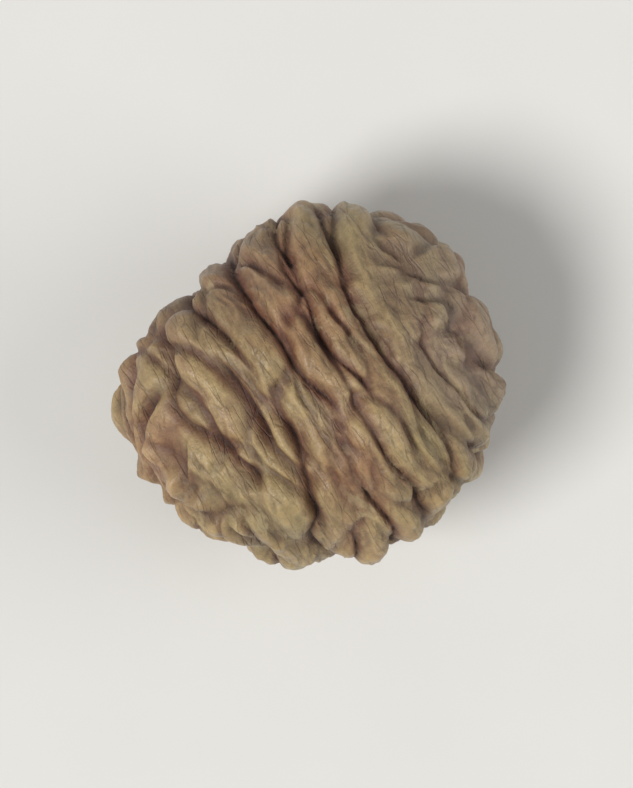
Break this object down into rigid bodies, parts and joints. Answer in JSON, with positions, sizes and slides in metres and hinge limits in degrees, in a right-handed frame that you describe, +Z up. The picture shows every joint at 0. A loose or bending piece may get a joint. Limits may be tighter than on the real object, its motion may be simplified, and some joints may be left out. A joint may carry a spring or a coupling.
{
  "type": "cardamom seed",
  "caption": "One whole dried green cardamom seed, ridged, blunt and many-sided, loose from its pod, lying on a small flat spot.",
  "frame": {"origin": "under the middle of the seed, on the plane that it rests on", "axes": "+X along the seed towards its broad end, -X towards the narrow end with the pit, +Z up"},
  "size_m": [0.0032, 0.003, 0.0026],
  "materials": {
    "seed_coat": "dry, dull-satin seed coat, mid-brown with darker furrows and paler, greyer crests"
  },
  "bodies": {
    "root": {"cardamom_seed": "seed_coat"}
  },
  "joints": []
}
